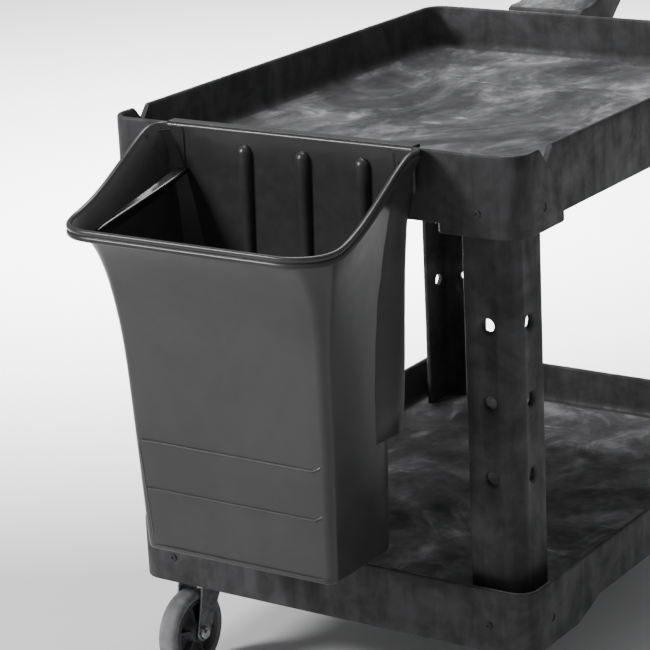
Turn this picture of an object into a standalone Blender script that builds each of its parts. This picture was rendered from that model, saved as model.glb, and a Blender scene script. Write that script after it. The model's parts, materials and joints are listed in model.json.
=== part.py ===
"""Two-shelf utility cart on casters, with a refuse bin hung on its near end.

Metres, +Z up, floor at Z = 0. +Y runs from the bin end to the handle end. The cart is laid out from
the outer face of its near end, NEAR, which is placed so that cart and bin together are centred in Y.
"""

import math

import bmesh
import bpy
from mathutils import Matrix, Vector

# Overall sizes
SHELF_WIDTH = 0.657
SHELF_LENGTH = 0.885
CART_LENGTH = 1.149
RIM_Z = 0.845
GAP = 0.0003

# Shelves
CORNER_RADIUS = 0.032
WALL = 0.008
FLOOR_THICKNESS = 0.006
TOP_APRON_Z = 0.747
TOP_FLOOR_Z = 0.775
COLLAR_Z = 0.733
LOWER_RIM_Z = 0.243
LOWER_FLOOR_Z = 0.178
LOWER_APRON_Z = 0.150
CORNER_BLOCK = 0.128
COLLAR_INSET = 0.002
NOTCH_FROM_END = 0.071
NOTCH_WIDTH = 0.036
NOTCH_DEPTH = 0.022
ARCH_START = 0.150
ARCH_RUN = 0.045

# Posts, which are angle sections with the rounded corner outwards
POST_INSET = 0.029
POST_LEG = 0.077
POST_WALL = 0.009
POST_RADIUS = 0.026
POST_FOOT_Z = 0.158
POST_TOP_Z = 0.768
SOCKET_CLEARANCE = 0.0005
HOLE_RADIUS = 0.0095
HOLE_FROM_EDGE = 0.042
HOLE_HEIGHTS = (0.390, 0.4975, 0.605)

# Bin
BIN_MIDDLE_X = -0.022
BIN_BACK = 0.006
BIN_REACH = 0.264
BIN_FLOOR_Z = 0.290
BIN_BACK_RIM_Z = 0.8475
BIN_FRONT_RIM_Z = 0.762
BIN_SHEET = 0.0035
BIN_BEAD = 0.005
BIN_FRONT_RADIUS = 0.016
BIN_BACK_RADIUS = 0.040
BIN_RIM_RADIUS = 0.062
BIN_RIM_BACK_RADIUS = 0.014
BIN_LIP_DEPTH = 0.0160
BIN_RIM_HALF_WIDTH = 0.208    # inside the rolled bead
HOOK_HALF_WIDTH = 0.180
HOOK_SHEET = 0.0035
HOOK_DROP = 0.022

# Handle
HANDLE_BASE_HALF_WIDTH = 0.215
HANDLE_BASE_DEPTH = 0.024
HANDLE_BASE_LOW_Z = 0.757
HANDLE_BASE_TOP_Z = 0.832
ARM_INNER_X = 0.064
ARM_OUTER_X = 0.197
ARM_WALL = 0.007
ARM_LOW_Z = 0.778
ARM_TOP_Z = 0.846
GRIP_RADIUS = 0.016
GRIP_HALF_LENGTH = 0.235
GRIP_Z = 0.948
CAP_RADIUS = 0.021
CAP_LENGTH = 0.012

# Casters
WHEEL_RADIUS = 0.0635
TREAD_WIDTH = 0.032
TREAD_INNER_RADIUS = 0.0485
HUB_HALF_WIDTH = 0.018
BUSHING_RADIUS = 0.0095
BUSHING_BORE = 0.0061
AXLE_RADIUS = 0.0055
BOLT_HEAD_RADIUS = 0.0100
BOLT_HEAD_LENGTH = 0.006
FORK_INNER = 0.0196
FORK_SHEET = 0.003
FORK_FOOT_RADIUS = 0.014
PLATE_TOP_Z = LOWER_APRON_Z - GAP
PLATE_SHEET = 0.0032
PLATE_HALF_X = 0.036
PLATE_HALF_Y = 0.047
CROWN_TOP_Z = 0.1375
RACEWAY_RADIUS = 0.026
KINGPIN_RADIUS = 0.006
SWIVEL_TRAIL = -0.035
CASTER_X = 0.2645
RIGID_FROM_END = 0.064
SWIVEL_FROM_END = 0.064

NEAR = -(CART_LENGTH - BIN_REACH) / 2
FAR = NEAR + SHELF_LENGTH
GRIP_Y = NEAR + CART_LENGTH - CAP_RADIUS
ROUND_STEPS = 16
TREAD_STEPS = 24
HOLE_SIDES = 12

FINISHES = {
    "cart_plastic": ((0.045, 0.045, 0.048), 0.55, 0.0),
    "bin_plastic": ((0.050, 0.050, 0.050), 0.45, 0.0),
    "grip_rubber": ((0.020, 0.020, 0.020), 0.70, 0.0),
    "tread_rubber": ((0.220, 0.220, 0.230), 0.60, 0.0),
    "hub_plastic": ((0.060, 0.060, 0.065), 0.50, 0.0),
    "fork_steel": ((0.300, 0.300, 0.310), 0.40, 0.9),
    "bolt_steel": ((0.550, 0.550, 0.560), 0.30, 1.0),
}


def empty_scene():
    for old in list(bpy.data.objects):
        bpy.data.objects.remove(old)


def new_collection(name):
    collection = bpy.data.collections.new(name)
    bpy.context.scene.collection.children.link(collection)
    return collection


def finish_material(name):
    material = bpy.data.materials.get(name)
    if material is None:
        colour, roughness, metallic = FINISHES[name]
        material = bpy.data.materials.new(name)
        material.use_nodes = True
        shader = material.node_tree.nodes["Principled BSDF"]
        shader.inputs["Base Color"].default_value = (*colour, 1)
        shader.inputs["Roughness"].default_value = roughness
        shader.inputs["Metallic"].default_value = metallic
    return material


def add_part(name, bm, finish, origin=(0, 0, 0)):
    """Makes a named part from a bmesh in cart coordinates, with its origin at a chosen point."""
    bmesh.ops.translate(bm, vec=-Vector(origin), verts=bm.verts)
    mesh = bpy.data.meshes.new(name)
    bm.to_mesh(mesh)
    bm.free()
    mesh.materials.append(finish_material(finish))
    part = bpy.data.objects.new(name, mesh)
    part.location = origin
    PARTS.objects.link(part)
    return part


def combine(part, operation, bm):
    """Cuts a bmesh shape out of a part, or joins it on, with a Boolean modifier."""
    mesh = bpy.data.meshes.new(part.name + "_tool")
    bm.to_mesh(mesh)
    bm.free()
    tool = bpy.data.objects.new(mesh.name, mesh)
    tool.hide_render = True
    tool.display_type = "WIRE"
    CUTTERS.objects.link(tool)
    step = part.modifiers.new("combine", "BOOLEAN")
    step.operation = operation
    step.object = tool


def rounded(corners, radii, steps=5):
    """A closed outline whose corners are arcs of the given radii; a zero radius stays sharp."""
    points = []
    for i, radius in enumerate(radii):
        here = Vector(corners[i])
        if radius == 0:
            points.append(tuple(here))
            continue
        before = (Vector(corners[i - 1]) - here).normalized()
        after = (Vector(corners[(i + 1) % len(corners)]) - here).normalized()
        half_angle = before.angle(after) / 2
        centre = here + (before + after).normalized() * radius / math.sin(half_angle)
        reach = radius / math.tan(half_angle)
        start = here + before * reach - centre
        end = here + after * reach - centre
        turn = math.atan2(start.x * end.y - start.y * end.x, start.dot(end))
        for k in range(steps + 1):
            points.append(tuple(centre + Matrix.Rotation(turn * k / steps, 2) @ start))
    return points


def rectangle(x0, x1, y0, y1):
    return [(x0, y0), (x1, y0), (x1, y1), (x0, y1)]


def prism(outline, low, high):
    """A closed outline in plan, filled and extruded in Z from low to high."""
    curve = bpy.data.curves.new("outline", "CURVE")
    curve.dimensions = "2D"
    curve.fill_mode = "BOTH"
    curve.extrude = (high - low) / 2
    spline = curve.splines.new("POLY")
    spline.points.add(len(outline) - 1)
    for point, (x, y) in zip(spline.points, outline):
        point.co = (x, y, 0, 1)
    spline.use_cyclic_u = True
    guide = bpy.data.objects.new("outline", curve)
    CUTTERS.objects.link(guide)
    evaluated = guide.evaluated_get(bpy.context.evaluated_depsgraph_get())
    mesh = bpy.data.meshes.new_from_object(evaluated)
    bpy.data.objects.remove(guide)
    bm = bmesh.new()
    bm.from_mesh(mesh)
    bpy.data.meshes.remove(mesh)
    bmesh.ops.remove_doubles(bm, verts=bm.verts, dist=1e-6)
    bmesh.ops.recalc_face_normals(bm, faces=bm.faces)
    bmesh.ops.translate(bm, vec=(0, 0, (low + high) / 2), verts=bm.verts)
    return bm


def prism_x(outline, low, high):
    """An outline of (y, z) points, extruded in X from low to high."""
    bm = prism(outline, low, high)
    z_to_x = Matrix(((0, 0, 1), (1, 0, 0), (0, 1, 0))).to_4x4()
    bmesh.ops.transform(bm, matrix=z_to_x, verts=bm.verts)
    return bm


def box(low, high):
    bm = bmesh.new()
    bmesh.ops.create_cube(bm, size=1)
    low = Vector(low)
    high = Vector(high)
    bmesh.ops.scale(bm, vec=high - low, verts=bm.verts)
    bmesh.ops.translate(bm, vec=(high + low) / 2, verts=bm.verts)
    return bm


def rod(centre, axis, radius, length, sides=ROUND_STEPS):
    """A cylinder, or a hexagonal bar when it has six sides, centred on a point."""
    bm = bmesh.new()
    bmesh.ops.create_cone(bm, cap_ends=True, segments=sides, radius1=radius, radius2=radius, depth=length)
    turn = {"X": Matrix.Rotation(math.pi / 2, 4, "Y"), "Y": Matrix.Rotation(math.pi / 2, 4, "X"),
            "Z": Matrix.Identity(4)}[axis]
    bmesh.ops.transform(bm, matrix=Matrix.Translation(centre) @ turn, verts=bm.verts)
    return bm


def turned(name, profile, finish, centre, steps=ROUND_STEPS):
    """A ring turned about the X axis from a closed profile of (radius, offset along the axis)."""
    bm = bmesh.new()
    verts = [bm.verts.new((radius, 0, offset)) for radius, offset in profile]
    for i, vert in enumerate(verts):
        bm.edges.new((verts[i - 1], vert))
    part = add_part(name, bm, finish)
    part.location = centre
    part.rotation_euler = (0, math.pi / 2, 0)
    screw = part.modifiers.new("turn", "SCREW")
    screw.steps = steps
    screw.render_steps = steps
    screw.use_merge_vertices = True
    screw.merge_threshold = 0.00005
    screw.use_smooth_shade = True
    return part


def corners():
    """The four corners of the cart: a name, and the sign of x and the end of the cart in y."""
    return [("near_left", -1, 1), ("near_right", 1, 1), ("far_left", -1, -1), ("far_right", 1, -1)]


def in_corner(side, inward, dx, dy):
    """The point that lies dx and dy inside a corner of the shelf outline."""
    end = NEAR if inward > 0 else FAR
    return side * (SHELF_WIDTH / 2 - dx), end + inward * dy


def angle_outline(side, inward, spare=0.0):
    """The plan outline of a post in one corner, grown outwards by spare."""
    outer = POST_INSET - spare
    inner = POST_INSET + POST_WALL + spare
    tip = POST_INSET + POST_LEG + spare
    plan = [(outer, outer), (tip, outer), (tip, inner), (inner, inner), (inner, tip), (outer, tip)]
    radii = [POST_RADIUS + spare, 0, 0, POST_RADIUS - POST_WALL - spare, 0, 0]
    points = [in_corner(side, inward, dx, dy) for dx, dy in plan]
    return rounded(points, radii, steps=4)


def make_shelf(name, rim_z, floor_z, apron_z, foot_z, socket_low, socket_high):
    """A lipped tray with an open underside, and a solid block in each corner that holds a post."""
    half = SHELF_WIDTH / 2
    outline = rounded(rectangle(-half, half, NEAR, FAR), [CORNER_RADIUS] * 4, steps=5)
    shelf = add_part(name, prism(outline, apron_z, rim_z), "cart_plastic")
    for _, side, inward in corners():
        outer = in_corner(side, inward, COLLAR_INSET, COLLAR_INSET)
        inner = in_corner(side, inward, CORNER_BLOCK, CORNER_BLOCK)
        plan = [outer, (inner[0], outer[1]), inner, (outer[0], inner[1])]
        block = rounded(plan, [CORNER_RADIUS - COLLAR_INSET, 0, 0, 0], steps=5)
        combine(shelf, "UNION", prism(block, foot_z, floor_z - 0.002))
    inside = half - WALL
    pocket = rounded(rectangle(-inside, inside, NEAR + WALL, FAR - WALL), [CORNER_RADIUS - WALL] * 4, steps=4)
    combine(shelf, "DIFFERENCE", prism(pocket, floor_z, rim_z + 0.02))
    under_z = floor_z - FLOOR_THICKNESS
    clear = half - CORNER_BLOCK
    below = foot_z - 0.01
    for half_x, from_end in ((clear, WALL), (inside, CORNER_BLOCK)):
        low = (-half_x, NEAR + from_end, below)
        high = (half_x, FAR - from_end, under_z)
        combine(shelf, "DIFFERENCE", box(low, high))
    for _, side, inward in corners():
        socket = angle_outline(side, inward, SOCKET_CLEARANCE)
        combine(shelf, "DIFFERENCE", prism(socket, socket_low, socket_high))
    return shelf


def make_top_shelf():
    shelf = make_shelf("top_shelf", RIM_Z, TOP_FLOOR_Z, TOP_APRON_Z, COLLAR_Z,
                       COLLAR_Z - 0.01, POST_TOP_Z + GAP)
    wall_middle = (SHELF_WIDTH - WALL) / 2
    centre_y = NEAR + NOTCH_FROM_END
    wedge = [(centre_y - NOTCH_WIDTH, RIM_Z + NOTCH_DEPTH), (centre_y, RIM_Z - NOTCH_DEPTH),
             (centre_y + NOTCH_WIDTH, RIM_Z + NOTCH_DEPTH)]
    for side in (-1, 1):
        middle = side * wall_middle
        combine(shelf, "DIFFERENCE", prism_x(wedge, middle - WALL, middle + WALL))


def make_lower_shelf():
    shelf = make_shelf("lower_shelf", LOWER_RIM_Z, LOWER_FLOOR_Z, LOWER_APRON_Z + GAP, LOWER_APRON_Z,
                       POST_FOOT_Z - GAP, LOWER_FLOOR_Z + 0.01)
    under_z = LOWER_FLOOR_Z - FLOOR_THICKNESS - 0.001
    below = LOWER_APRON_Z - 0.01
    arch = [(NEAR + ARCH_START, below), (NEAR + ARCH_START + ARCH_RUN, under_z),
            (FAR - ARCH_START - ARCH_RUN, under_z), (FAR - ARCH_START, below)]
    combine(shelf, "DIFFERENCE", prism_x(arch, -SHELF_WIDTH, SHELF_WIDTH))


def make_post(corner, side, inward):
    angle = prism(angle_outline(side, inward), POST_FOOT_Z, POST_TOP_Z)
    post = add_part("post_" + corner, angle, "cart_plastic")
    face = POST_INSET + POST_WALL / 2
    across = POST_INSET + HOLE_FROM_EDGE
    for height in HOLE_HEIGHTS:
        end_face = (*in_corner(side, inward, across, face), height)
        side_face = (*in_corner(side, inward, face, across), height)
        combine(post, "DIFFERENCE", rod(end_face, "Y", HOLE_RADIUS, POST_WALL * 2, HOLE_SIDES))
        combine(post, "DIFFERENCE", rod(side_face, "X", HOLE_RADIUS, POST_WALL * 2, HOLE_SIDES))


def bin_ring(half, front, back_radius, front_radius, back=NEAR - BIN_BACK):
    """A plan outline of the bin. half is half its width, front the distance of its front wall from NEAR."""
    left = BIN_MIDDLE_X - half
    right = BIN_MIDDLE_X + half
    outline = rectangle(left, right, NEAR - front, back)
    return rounded(outline, [front_radius, front_radius, back_radius, back_radius], steps=5)


def rim_height(y):
    """The height of the rim at y: level along the back, then falling smoothly to the front."""
    flat = NEAR - 0.035
    run = BIN_REACH - 0.060
    t = min(max((flat - y) / run, 0), 1)
    return BIN_BACK_RIM_Z + (BIN_FRONT_RIM_Z - BIN_BACK_RIM_Z) * math.sin(t * math.pi / 2) ** 1.25


def make_bin():
    """An open tub lofted through plan outlines, flared towards its rim, with a hook along the back."""
    body = [  # share of the height, half width, distance of the front wall from the cart, corner radii
        (0.00, 0.1560, 0.176, BIN_BACK_RADIUS, BIN_FRONT_RADIUS),
        (0.34, 0.1600, 0.180, BIN_BACK_RADIUS, BIN_FRONT_RADIUS),
        (0.62, 0.1650, 0.188, 0.030, BIN_FRONT_RADIUS),
        (0.78, 0.1740, 0.198, 0.022, 0.022),
        (0.88, 0.1840, 0.212, 0.018, 0.032),
        (0.955, 0.1960, 0.234, 0.016, 0.047),
        (1.00, BIN_RIM_HALF_WIDTH, BIN_REACH - BIN_BEAD, BIN_RIM_BACK_RADIUS, BIN_RIM_RADIUS),
    ]
    bm = bmesh.new()
    rings = []
    for share, half, front, back_radius, front_radius in body:
        outline = bin_ring(half, front, back_radius, front_radius)
        heights = [BIN_FLOOR_Z + share * (rim_height(y) - BIN_FLOOR_Z) for _, y in outline]
        rings.append([bm.verts.new((x, y, z)) for (x, y), z in zip(outline, heights)])
    lip_back = NEAR - BIN_BACK + BIN_BEAD
    lip = bin_ring(BIN_RIM_HALF_WIDTH + BIN_BEAD, BIN_REACH, BIN_RIM_BACK_RADIUS + BIN_BEAD,
                   BIN_RIM_RADIUS + BIN_BEAD, lip_back)
    rings.append([bm.verts.new((x, y, rim_height(y) - 0.0005)) for x, y in lip])
    rings.append([bm.verts.new((x, y, rim_height(y) - BIN_LIP_DEPTH)) for x, y in lip])
    for lower, upper in zip(rings, rings[1:]):
        for i in range(len(lower)):
            bm.faces.new((lower[i - 1], lower[i], upper[i], upper[i - 1]))
    bm.faces.new(reversed(rings[0]))
    bmesh.ops.recalc_face_normals(bm, faces=bm.faces)
    tub = add_part("bin", bm, "bin_plastic")
    sheet = tub.modifiers.new("sheet", "SOLIDIFY")
    sheet.thickness = BIN_SHEET
    sheet.offset = -1
    sheet.use_even_offset = True
    over_z = RIM_Z + GAP
    inner_y = NEAR + WALL + 0.001
    hook = [(NEAR - BIN_BACK - 0.002, over_z), (inner_y, over_z), (inner_y, over_z - HOOK_DROP),
            (inner_y + HOOK_SHEET, over_z - HOOK_DROP), (inner_y + HOOK_SHEET, over_z + HOOK_SHEET),
            (NEAR - BIN_BACK - 0.002, over_z + HOOK_SHEET)]
    combine(tub, "UNION", prism_x(hook, BIN_MIDDLE_X - HOOK_HALF_WIDTH, BIN_MIDDLE_X + HOOK_HALF_WIDTH))


def make_handle():
    """A base on the far end face, two broad arms that sweep out and up, and a capped bar through them."""
    base_y = FAR + GAP
    back_y = base_y + HANDLE_BASE_DEPTH
    half = HANDLE_BASE_HALF_WIDTH
    plan = rounded(rectangle(-half, half, base_y, back_y), [0, 0, 0.010, 0.010])
    add_part("handle_base", prism(plan, HANDLE_BASE_LOW_Z, HANDLE_BASE_TOP_Z), "cart_plastic")
    root_y = back_y + GAP
    side_view = [(root_y, ARM_LOW_Z), (root_y + 0.085, ARM_LOW_Z + 0.008), (GRIP_Y + 0.020, 0.915),
                 (GRIP_Y + 0.020, GRIP_Z + 0.024), (GRIP_Y - 0.028, GRIP_Z + 0.024),
                 (root_y + 0.060, ARM_TOP_Z), (root_y, ARM_TOP_Z)]
    outline = rounded(side_view, [0.004, 0.090, 0.030, 0.018, 0.045, 0.080, 0.012], steps=5)
    skin_z = ARM_TOP_Z - ARM_WALL
    hollow = [(root_y + ARM_WALL, ARM_LOW_Z - 0.04), (root_y + 0.10, ARM_LOW_Z - 0.02),
              (GRIP_Y + 0.010, 0.885), (GRIP_Y - 0.026, GRIP_Z - 0.020), (GRIP_Y - 0.038, GRIP_Z),
              (root_y + 0.062, skin_z), (root_y + ARM_WALL, skin_z)]
    for name, side in (("left", -1), ("right", 1)):
        low, high = sorted((side * ARM_INNER_X, side * ARM_OUTER_X))
        arm = add_part("handle_arm_" + name, prism_x(outline, low, high), "cart_plastic")
        combine(arm, "DIFFERENCE", prism_x(hollow, low + ARM_WALL, high - ARM_WALL))
        middle = ((low + high) / 2, GRIP_Y, GRIP_Z)
        bore = rod(middle, "X", GRIP_RADIUS + 2 * GAP, (high - low) * 1.2)
        combine(arm, "DIFFERENCE", bore)
        cap_x = side * (GRIP_HALF_LENGTH + GAP + CAP_LENGTH / 2)
        cap = rod((cap_x, GRIP_Y, GRIP_Z), "X", CAP_RADIUS, CAP_LENGTH)
        add_part("grip_cap_" + name, cap, "grip_rubber", (cap_x, GRIP_Y, GRIP_Z))
    grip = rod((0, GRIP_Y, GRIP_Z), "X", GRIP_RADIUS, GRIP_HALF_LENGTH * 2)
    add_part("handle_grip", grip, "grip_rubber")


def make_wheel(caster, centre):
    """Bushing, hub and tread, all turning about the axle, and the axle bolt with its nut."""
    half = TREAD_WIDTH / 2
    tread = [(WHEEL_RADIUS, 0.009), (WHEEL_RADIUS, -0.009), (WHEEL_RADIUS - 0.004, -half),
             (TREAD_INNER_RADIUS, -half), (TREAD_INNER_RADIUS, half), (WHEEL_RADIUS - 0.004, half)]
    turned(caster + "_tread", tread, "tread_rubber", centre, TREAD_STEPS)
    rim = TREAD_INNER_RADIUS * math.cos(math.pi / TREAD_STEPS) - GAP
    bore = BUSHING_RADIUS + GAP
    hub = [(rim, 0.014), (rim, -0.014), (rim - 0.007, -0.004), (0.018, -0.004),
           (0.016, -HUB_HALF_WIDTH), (bore, -HUB_HALF_WIDTH), (bore, HUB_HALF_WIDTH), (0.016, HUB_HALF_WIDTH),
           (0.018, 0.004), (rim - 0.007, 0.004)]
    turned(caster + "_hub", hub, "hub_plastic", centre)
    end = HUB_HALF_WIDTH + 0.0008
    sleeve = BUSHING_RADIUS - GAP
    bushing = [(sleeve, end), (sleeve, -end), (BUSHING_BORE, -end), (BUSHING_BORE, end)]
    turned(caster + "_bushing", bushing, "bolt_steel", centre)
    outer = FORK_INNER + FORK_SHEET + GAP
    side = math.copysign(1, centre[0])
    nut_width = BOLT_HEAD_LENGTH
    shank_low = -outer - 0.001
    shank_high = outer + nut_width + 0.003
    shank_middle = Vector(centre) + Vector((-side * (shank_low + shank_high) / 2, 0, 0))
    shank = rod(shank_middle, "X", AXLE_RADIUS, shank_high - shank_low)
    axle = add_part(caster + "_axle", shank, "bolt_steel", centre)
    head_middle = Vector(centre) + Vector((side * (outer + BOLT_HEAD_LENGTH / 2), 0, 0))
    combine(axle, "UNION", rod(head_middle, "X", BOLT_HEAD_RADIUS, BOLT_HEAD_LENGTH, sides=6))
    nut_middle = Vector(centre) - Vector((side * (outer + nut_width / 2), 0, 0))
    hexagon = rod(nut_middle, "X", BOLT_HEAD_RADIUS, nut_width, sides=6)
    nut = add_part(caster + "_nut", hexagon, "bolt_steel", centre)
    combine(nut, "DIFFERENCE", rod(nut_middle, "X", AXLE_RADIUS + 2 * GAP, nut_width * 2))


def make_fork(caster, centre, pivot, crown, top_z):
    """A pressed fork: a flat crown over the wheel and a tapered leg on each side of it."""
    fork = add_part(caster + "_fork", prism(crown, top_z - PLATE_SHEET, top_z), "fork_steel", pivot)
    middle = pivot[1]
    foot = centre[1]
    low = WHEEL_RADIUS - FORK_FOOT_RADIUS
    leg_top = top_z - PLATE_SHEET / 2
    leg = rounded([(foot - FORK_FOOT_RADIUS, low), (foot + FORK_FOOT_RADIUS, low), (middle + 0.028, leg_top),
                   (middle - 0.028, leg_top)], [0.012, 0.012, 0, 0])
    for side in (-1, 1):
        low_x, high_x = sorted((centre[0] + side * FORK_INNER, centre[0] + side * (FORK_INNER + FORK_SHEET)))
        combine(fork, "UNION", prism_x(leg, low_x, high_x))
    combine(fork, "DIFFERENCE", rod(centre, "X", AXLE_RADIUS + 2 * GAP, FORK_INNER * 4))
    return fork


def plate_outline(x, y):
    plate = rectangle(x - PLATE_HALF_X, x + PLATE_HALF_X, y - PLATE_HALF_Y, y + PLATE_HALF_Y)
    return rounded(plate, [0.006] * 4, steps=3)


def make_rigid_caster(caster, side):
    x = side * CASTER_X
    y = FAR - RIGID_FROM_END
    centre = (x, y, WHEEL_RADIUS)
    make_wheel(caster, centre)
    make_fork(caster, centre, (x, y, PLATE_TOP_Z), plate_outline(x, y), PLATE_TOP_Z)


def make_swivel_caster(caster, side):
    x = side * CASTER_X
    y = NEAR + SWIVEL_FROM_END
    centre = (x, y + SWIVEL_TRAIL, WHEEL_RADIUS)
    make_wheel(caster, centre)
    crown = rounded(rectangle(x - 0.030, x + 0.030, y - 0.030, y + 0.030), [0.026] * 4)
    fork = make_fork(caster, centre, (x, y, CROWN_TOP_Z), crown, CROWN_TOP_Z)
    pin_hole = rod((x, y, CROWN_TOP_Z), "Z", KINGPIN_RADIUS + 2 * GAP, 0.02)
    combine(fork, "DIFFERENCE", pin_hole)
    plate_low = PLATE_TOP_Z - PLATE_SHEET
    plate = prism(plate_outline(x, y), plate_low, PLATE_TOP_Z)
    add_part(caster + "_plate", plate, "fork_steel", (x, y, PLATE_TOP_Z))
    race_low = CROWN_TOP_Z + GAP
    race_high = plate_low - GAP
    race_middle = (x, y, (race_low + race_high) / 2)
    ring = rod(race_middle, "Z", RACEWAY_RADIUS, race_high - race_low)
    race = add_part(caster + "_raceway", ring, "fork_steel", race_middle)
    combine(race, "DIFFERENCE", rod(race_middle, "Z", KINGPIN_RADIUS + 2 * GAP, 0.03))
    pin_low = CROWN_TOP_Z - PLATE_SHEET - 0.001
    pin_high = plate_low - GAP
    pin_middle = (x, y, (pin_low + pin_high) / 2)
    pin_shank = rod(pin_middle, "Z", KINGPIN_RADIUS, pin_high - pin_low)
    pin = add_part(caster + "_kingpin", pin_shank, "bolt_steel", pin_middle)
    head = (x, y, pin_low - 0.0005)
    combine(pin, "UNION", rod(head, "Z", KINGPIN_RADIUS + 0.003, 0.0014))


def make_cart():
    make_top_shelf()
    make_lower_shelf()
    for corner, side, inward in corners():
        make_post(corner, side, inward)
        if inward > 0:
            make_swivel_caster(corner, side)
        else:
            make_rigid_caster(corner, side)
    make_handle()
    make_bin()


empty_scene()
PARTS = new_collection("utility_cart_with_bin")
CUTTERS = new_collection("cutters")
make_cart()
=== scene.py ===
"""Looks for the utility cart with a refuse bin: detailed meshes, procedural materials, studio and camera.

Metres, +Z up, +Y from the bin end to the push-bar end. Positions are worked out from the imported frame.
"""

import json
import math

import bmesh
import bpy
from mathutils import Matrix, Vector


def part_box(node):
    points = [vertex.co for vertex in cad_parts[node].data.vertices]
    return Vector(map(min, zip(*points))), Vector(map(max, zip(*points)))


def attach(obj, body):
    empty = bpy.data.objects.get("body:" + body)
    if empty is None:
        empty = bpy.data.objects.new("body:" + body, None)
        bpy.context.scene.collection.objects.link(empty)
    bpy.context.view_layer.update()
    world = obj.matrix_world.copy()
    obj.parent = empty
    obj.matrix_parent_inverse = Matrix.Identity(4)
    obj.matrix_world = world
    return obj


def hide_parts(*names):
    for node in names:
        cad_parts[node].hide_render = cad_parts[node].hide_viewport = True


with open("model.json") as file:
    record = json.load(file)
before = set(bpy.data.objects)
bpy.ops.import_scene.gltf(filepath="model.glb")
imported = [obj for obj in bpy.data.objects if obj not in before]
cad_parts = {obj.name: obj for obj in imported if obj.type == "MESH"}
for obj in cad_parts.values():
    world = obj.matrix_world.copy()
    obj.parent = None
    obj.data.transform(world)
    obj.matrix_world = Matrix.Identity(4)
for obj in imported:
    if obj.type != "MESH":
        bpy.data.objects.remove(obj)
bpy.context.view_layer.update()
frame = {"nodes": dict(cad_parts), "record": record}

SMOOTH_ANGLE = math.radians(38)


# ---------------------------------------------------------------- sizes taken from the frame

def corner_box(node):
    low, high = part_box(node)
    return Vector(low), Vector(high)


SHELF_LOW, SHELF_HIGH = corner_box("top_shelf")
LOWER_LOW, LOWER_HIGH = corner_box("lower_shelf")
HALF_WIDTH = SHELF_HIGH.x
NEAR = SHELF_LOW.y
FAR = SHELF_HIGH.y
RIM_Z = SHELF_HIGH.z
COLLAR_Z = SHELF_LOW.z
LOWER_RIM_Z = LOWER_HIGH.z
LOWER_APRON_Z = LOWER_LOW.z
TOP_FLOOR_Z = frame["record"]["mounts"][0]["pos_m"][2]
LOWER_FLOOR_Z = frame["record"]["mounts"][1]["pos_m"][2]
POST_LOW, POST_HIGH = corner_box("post_near_right")
POST_INSET = HALF_WIDTH - POST_HIGH.x
POST_LEG = POST_HIGH.x - POST_LOW.x
BIN_LOW, BIN_HIGH = corner_box("bin")
BIN_X = (BIN_LOW.x + BIN_HIGH.x) / 2
CORNERS = {"near_left": (-1, 1), "near_right": (1, 1), "far_left": (-1, -1), "far_right": (1, -1)}

# Mould details that the frame's boxes don't hold
WALL = 0.008
CORNER_RADIUS = 0.032
APRON_RISE = 0.014          # from the foot of a top-shelf collar up to the apron's lower edge
NOTCH_FROM_END = 0.071
NOTCH_HALF = 0.018
NOTCH_DEPTH = 0.022
ARCH_START = 0.150
ARCH_RUN = 0.060
POST_WALL = 0.009
POST_RADIUS = 0.026
HOLE_RADIUS = 0.0095
HOLE_FROM_EDGE = 0.042
HOLE_HEIGHTS = (0.390, 0.4975, 0.605)
PLUG_FROM_CORNER = 0.064
UPPER_PLUG_RISE = 0.033     # from the foot of a top-shelf collar
LOWER_PLUG_RISE = 0.040     # from the lower apron's edge
COLLAR_SIZE = 0.128
UNDER_RIB_HALF = 0.0015     # half the thickness of a rib under the floor
UNDER_RIB_FROM_END = 0.16


# ---------------------------------------------------------------- materials

def new_material(name):
    material = bpy.data.materials.new(name)
    material.use_nodes = True
    tree = material.node_tree
    return material, tree, tree.nodes["Principled BSDF"]


def position(tree):
    """World-like coordinates in metres: every piece is modelled in the cart's own frame."""
    return tree.nodes.new("ShaderNodeTexCoord").outputs["Object"]


def scaled(tree, vector, scale):
    mapping = tree.nodes.new("ShaderNodeMapping")
    mapping.inputs["Scale"].default_value = scale
    tree.links.new(vector, mapping.inputs["Vector"])
    return mapping.outputs["Vector"]


def noise(tree, vector, scale, detail=4.0, roughness=0.55, distortion=0.0):
    node = tree.nodes.new("ShaderNodeTexNoise")
    node.inputs["Scale"].default_value = scale
    node.inputs["Detail"].default_value = detail
    node.inputs["Roughness"].default_value = roughness
    node.inputs["Distortion"].default_value = distortion
    tree.links.new(vector, node.inputs["Vector"])
    return node.outputs["Fac"]


def stretched_noise(tree, place, scale, detail, roughness, distortion=0.0):
    """Noise whose grain has a size of its own along each axis."""
    return noise(tree, scaled(tree, place, scale), 1.0, detail, roughness, distortion)


def spread(tree, value, low, high, out_low=0.0, out_high=1.0):
    """Maps low..high to out_low..out_high, smoothly and clamped."""
    node = tree.nodes.new("ShaderNodeMapRange")
    node.interpolation_type = "SMOOTHSTEP"
    node.inputs["From Min"].default_value = low
    node.inputs["From Max"].default_value = high
    node.inputs["To Min"].default_value = out_low
    node.inputs["To Max"].default_value = out_high
    tree.links.new(value, node.inputs["Value"])
    return node.outputs["Result"]


def maths(tree, operation, a, b):
    node = tree.nodes.new("ShaderNodeMath")
    node.operation = operation
    for socket, value in zip(node.inputs, (a, b)):
        if isinstance(value, (int, float)):
            socket.default_value = value
        else:
            tree.links.new(value, socket)
    return node.outputs["Value"]


def blend_colours(tree, factor, a, b):
    node = tree.nodes.new("ShaderNodeMix")
    node.data_type = "RGBA"
    tree.links.new(factor, node.inputs["Factor"])
    for socket, value in ((node.inputs["A"], a), (node.inputs["B"], b)):
        if isinstance(value, tuple):
            socket.default_value = (*value, 1)
        else:
            tree.links.new(value, socket)
    return node.outputs["Result"]


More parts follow.
